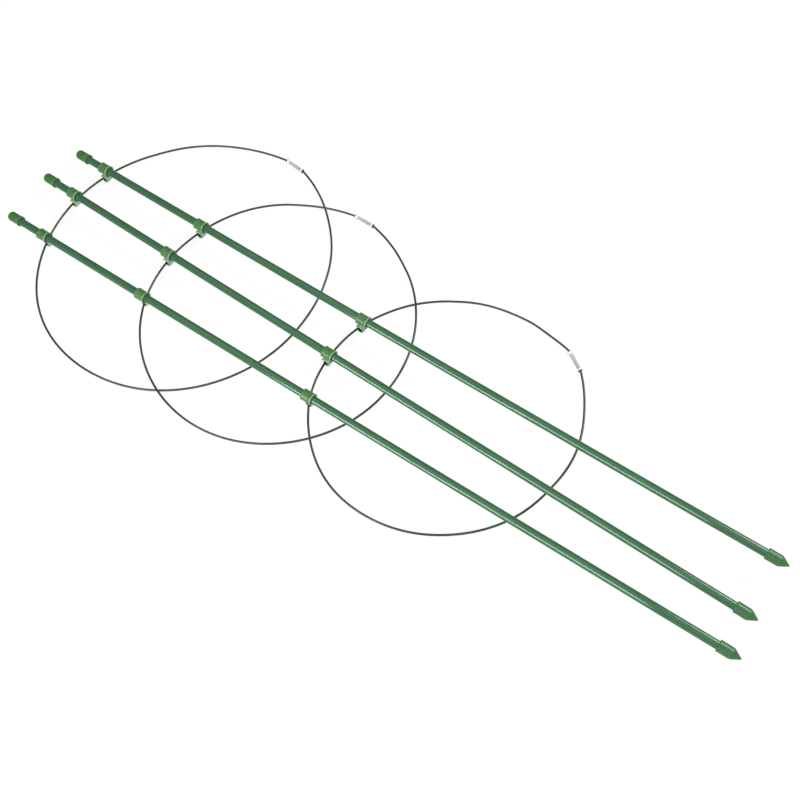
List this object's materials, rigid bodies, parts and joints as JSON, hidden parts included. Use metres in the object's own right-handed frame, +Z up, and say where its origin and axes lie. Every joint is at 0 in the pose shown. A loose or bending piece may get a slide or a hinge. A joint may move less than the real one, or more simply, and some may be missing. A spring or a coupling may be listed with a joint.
{
  "type": "garden trellis",
  "caption": "Folding plant support: coated stakes with blunt caps and pointed tips, held by sliding clips to round wire rings with sleeved joints, lying folded flat.",
  "frame": {"origin": "middle of the foot of the folded set's bounding box, on the ground it lies on", "axes": "+X along the stakes from their caps to their tips, +Z up from the ground, the rings under the stakes"},
  "size_m": [0.9054, 0.3436, 0.03],
  "materials": {
    "coated_stake": "satin bluish green plastic coat",
    "moulded_green": "moulded green plastic",
    "coated_wire": "very dark green coat on steel wire",
    "clear_sleeve": "translucent grey-white plastic tube",
    "tube_steel": "plain steel tube, out of sight"
  },
  "bodies": {
    "ring_1": {"ring_wire_1": "coated_wire", "ring_sleeve_1": "clear_sleeve"},
    "clip_a_1": {"clip_a_1": "moulded_green"},
    "clip_b_1": {"clip_b_1": "moulded_green"},
    "clip_c_1": {"clip_c_1": "moulded_green"},
    "stake_a": {"stake_tube_a": "coated_stake", "stake_core_a": "tube_steel", "stake_cap_a": "moulded_green", "stake_tip_a": "moulded_green"},
    "stake_b": {"stake_tube_b": "coated_stake", "stake_core_b": "tube_steel", "stake_cap_b": "moulded_green", "stake_tip_b": "moulded_green"},
    "stake_c": {"stake_tube_c": "coated_stake", "stake_core_c": "tube_steel", "stake_cap_c": "moulded_green", "stake_tip_c": "moulded_green"},
    "clip_a_2": {"clip_a_2": "moulded_green"},
    "clip_b_2": {"clip_b_2": "moulded_green"},
    "clip_c_2": {"clip_c_2": "moulded_green"},
    "clip_a_3": {"clip_a_3": "moulded_green"},
    "clip_b_3": {"clip_b_3": "moulded_green"},
    "clip_c_3": {"clip_c_3": "moulded_green"},
    "ring_2": {"ring_wire_2": "coated_wire", "ring_sleeve_2": "clear_sleeve"},
    "ring_3": {"ring_wire_3": "coated_wire", "ring_sleeve_3": "clear_sleeve"}
  },
  "joints": [
    {"name": "fold", "type": "hinge", "parent": "ring_1", "child": "clip_b_1", "pos_m": [-0.40934, -0.01236, 0.00561], "axis": [0, -1, 0], "range_deg": [0, 88.87]},
    {"name": "fold_a", "type": "hinge", "parent": "ring_1", "child": "clip_a_1", "pos_m": [-0.39461, -0.07421, 0.00571], "axis": [0, -1, 0], "range_deg": [0, 88.87]},
    {"name": "fold_c", "type": "hinge", "parent": "ring_1", "child": "clip_c_1", "pos_m": [-0.40356, 0.03454, 0.00565], "axis": [0, -1, 0], "range_deg": [0, 88.87]},
    {"name": "height_1", "type": "slide", "parent": "clip_b_1", "child": "stake_b", "axis": [0.9999, -0.0141, 0.0066], "range_m": [-0.008, 0.015]},
    {"name": "height_1_a", "type": "slide", "parent": "clip_a_1", "child": "stake_a", "axis": [0.9999, 0.0133, 0.0066], "range_m": [-0.008, 0.015]},
    {"name": "height_1_c", "type": "slide", "parent": "clip_c_1", "child": "stake_c", "axis": [1, 0.0009, 0.0066], "range_m": [-0.008, 0.015]},
    {"name": "height_2", "type": "slide", "parent": "stake_b", "child": "clip_b_2", "axis": [0.9999, -0.0141, 0.0066], "range_m": [-0.01, 0.015]},
    {"name": "height_2_a", "type": "slide", "parent": "stake_a", "child": "clip_a_2", "axis": [0.9999, 0.0133, 0.0066], "range_m": [-0.01, 0.015]},
    {"name": "height_2_c", "type": "slide", "parent": "stake_c", "child": "clip_c_2", "axis": [1, 0.0009, 0.0066], "range_m": [-0.01, 0.015]},
    {"name": "height_3", "type": "slide", "parent": "stake_b", "child": "clip_b_3", "axis": [0.9999, -0.0141, 0.0066], "range_m": [-0.015, 0.015]},
    {"name": "height_3_a", "type": "slide", "parent": "stake_a", "child": "clip_a_3", "axis": [0.9999, 0.0133, 0.0066], "range_m": [-0.015, 0.015]},
    {"name": "height_3_c", "type": "slide", "parent": "stake_c", "child": "clip_c_3", "axis": [1, 0.0009, 0.0066], "range_m": [-0.015, 0.015]},
    {"name": "fold_ring_2", "type": "hinge", "parent": "clip_b_2", "child": "ring_2", "pos_m": [-0.25975, -0.01447, 0.0066], "axis": [0, -1, 0], "range_deg": [-88.87, 0]},
    {"name": "fold_ring_3", "type": "hinge", "parent": "clip_b_3", "child": "ring_3", "pos_m": [-0.03275, -0.01768, 0.00811], "axis": [0, -1, 0], "range_deg": [-88.17, 0]}
  ],
  "couplings": [
    {"joint": "fold_a", "follows": "fold", "ratio": 1},
    {"joint": "fold_c", "follows": "fold", "ratio": 1},
    {"joint": "fold_ring_2", "follows": "fold", "ratio": -1},
    {"joint": "fold_ring_3", "follows": "fold", "ratio": -0.99205},
    {"joint": "height_1_a", "follows": "height_1", "ratio": 1},
    {"joint": "height_1_c", "follows": "height_1", "ratio": 1},
    {"joint": "height_2_a", "follows": "height_2", "ratio": 1},
    {"joint": "height_2_c", "follows": "height_2", "ratio": 1},
    {"joint": "height_3_a", "follows": "height_3", "ratio": 1},
    {"joint": "height_3_c", "follows": "height_3", "ratio": 1}
  ]
}
